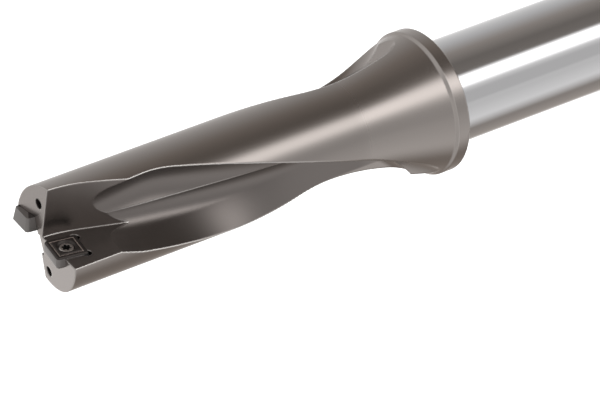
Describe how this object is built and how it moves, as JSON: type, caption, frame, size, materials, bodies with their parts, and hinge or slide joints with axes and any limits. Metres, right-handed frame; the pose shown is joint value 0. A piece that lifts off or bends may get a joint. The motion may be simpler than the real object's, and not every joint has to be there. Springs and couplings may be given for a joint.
{
  "type": "indexable drill",
  "caption": "Steel drill body with twisted chip flutes and coolant channels, a flanged parallel shank, and square carbide inserts screwed into seats at the tip.",
  "frame": {"origin": "centre of the shank's rear face, on the drill axis", "axes": "+Z along the drill axis from the shank to the tip; the centre insert's rake face lies in the half-plane towards -X"},
  "size_m": [0.035, 0.035, 0.1648],
  "materials": {
    "body": "satin plated flutes and flange, ground shank",
    "carbide": "coated sintered carbide",
    "screw": "plain bright"
  },
  "bodies": {
    "root": {"drill_body": "body", "centre_insert": "carbide", "peripheral_insert": "carbide", "centre_insert_screw": "screw", "peripheral_insert_screw": "screw"}
  },
  "joints": []
}
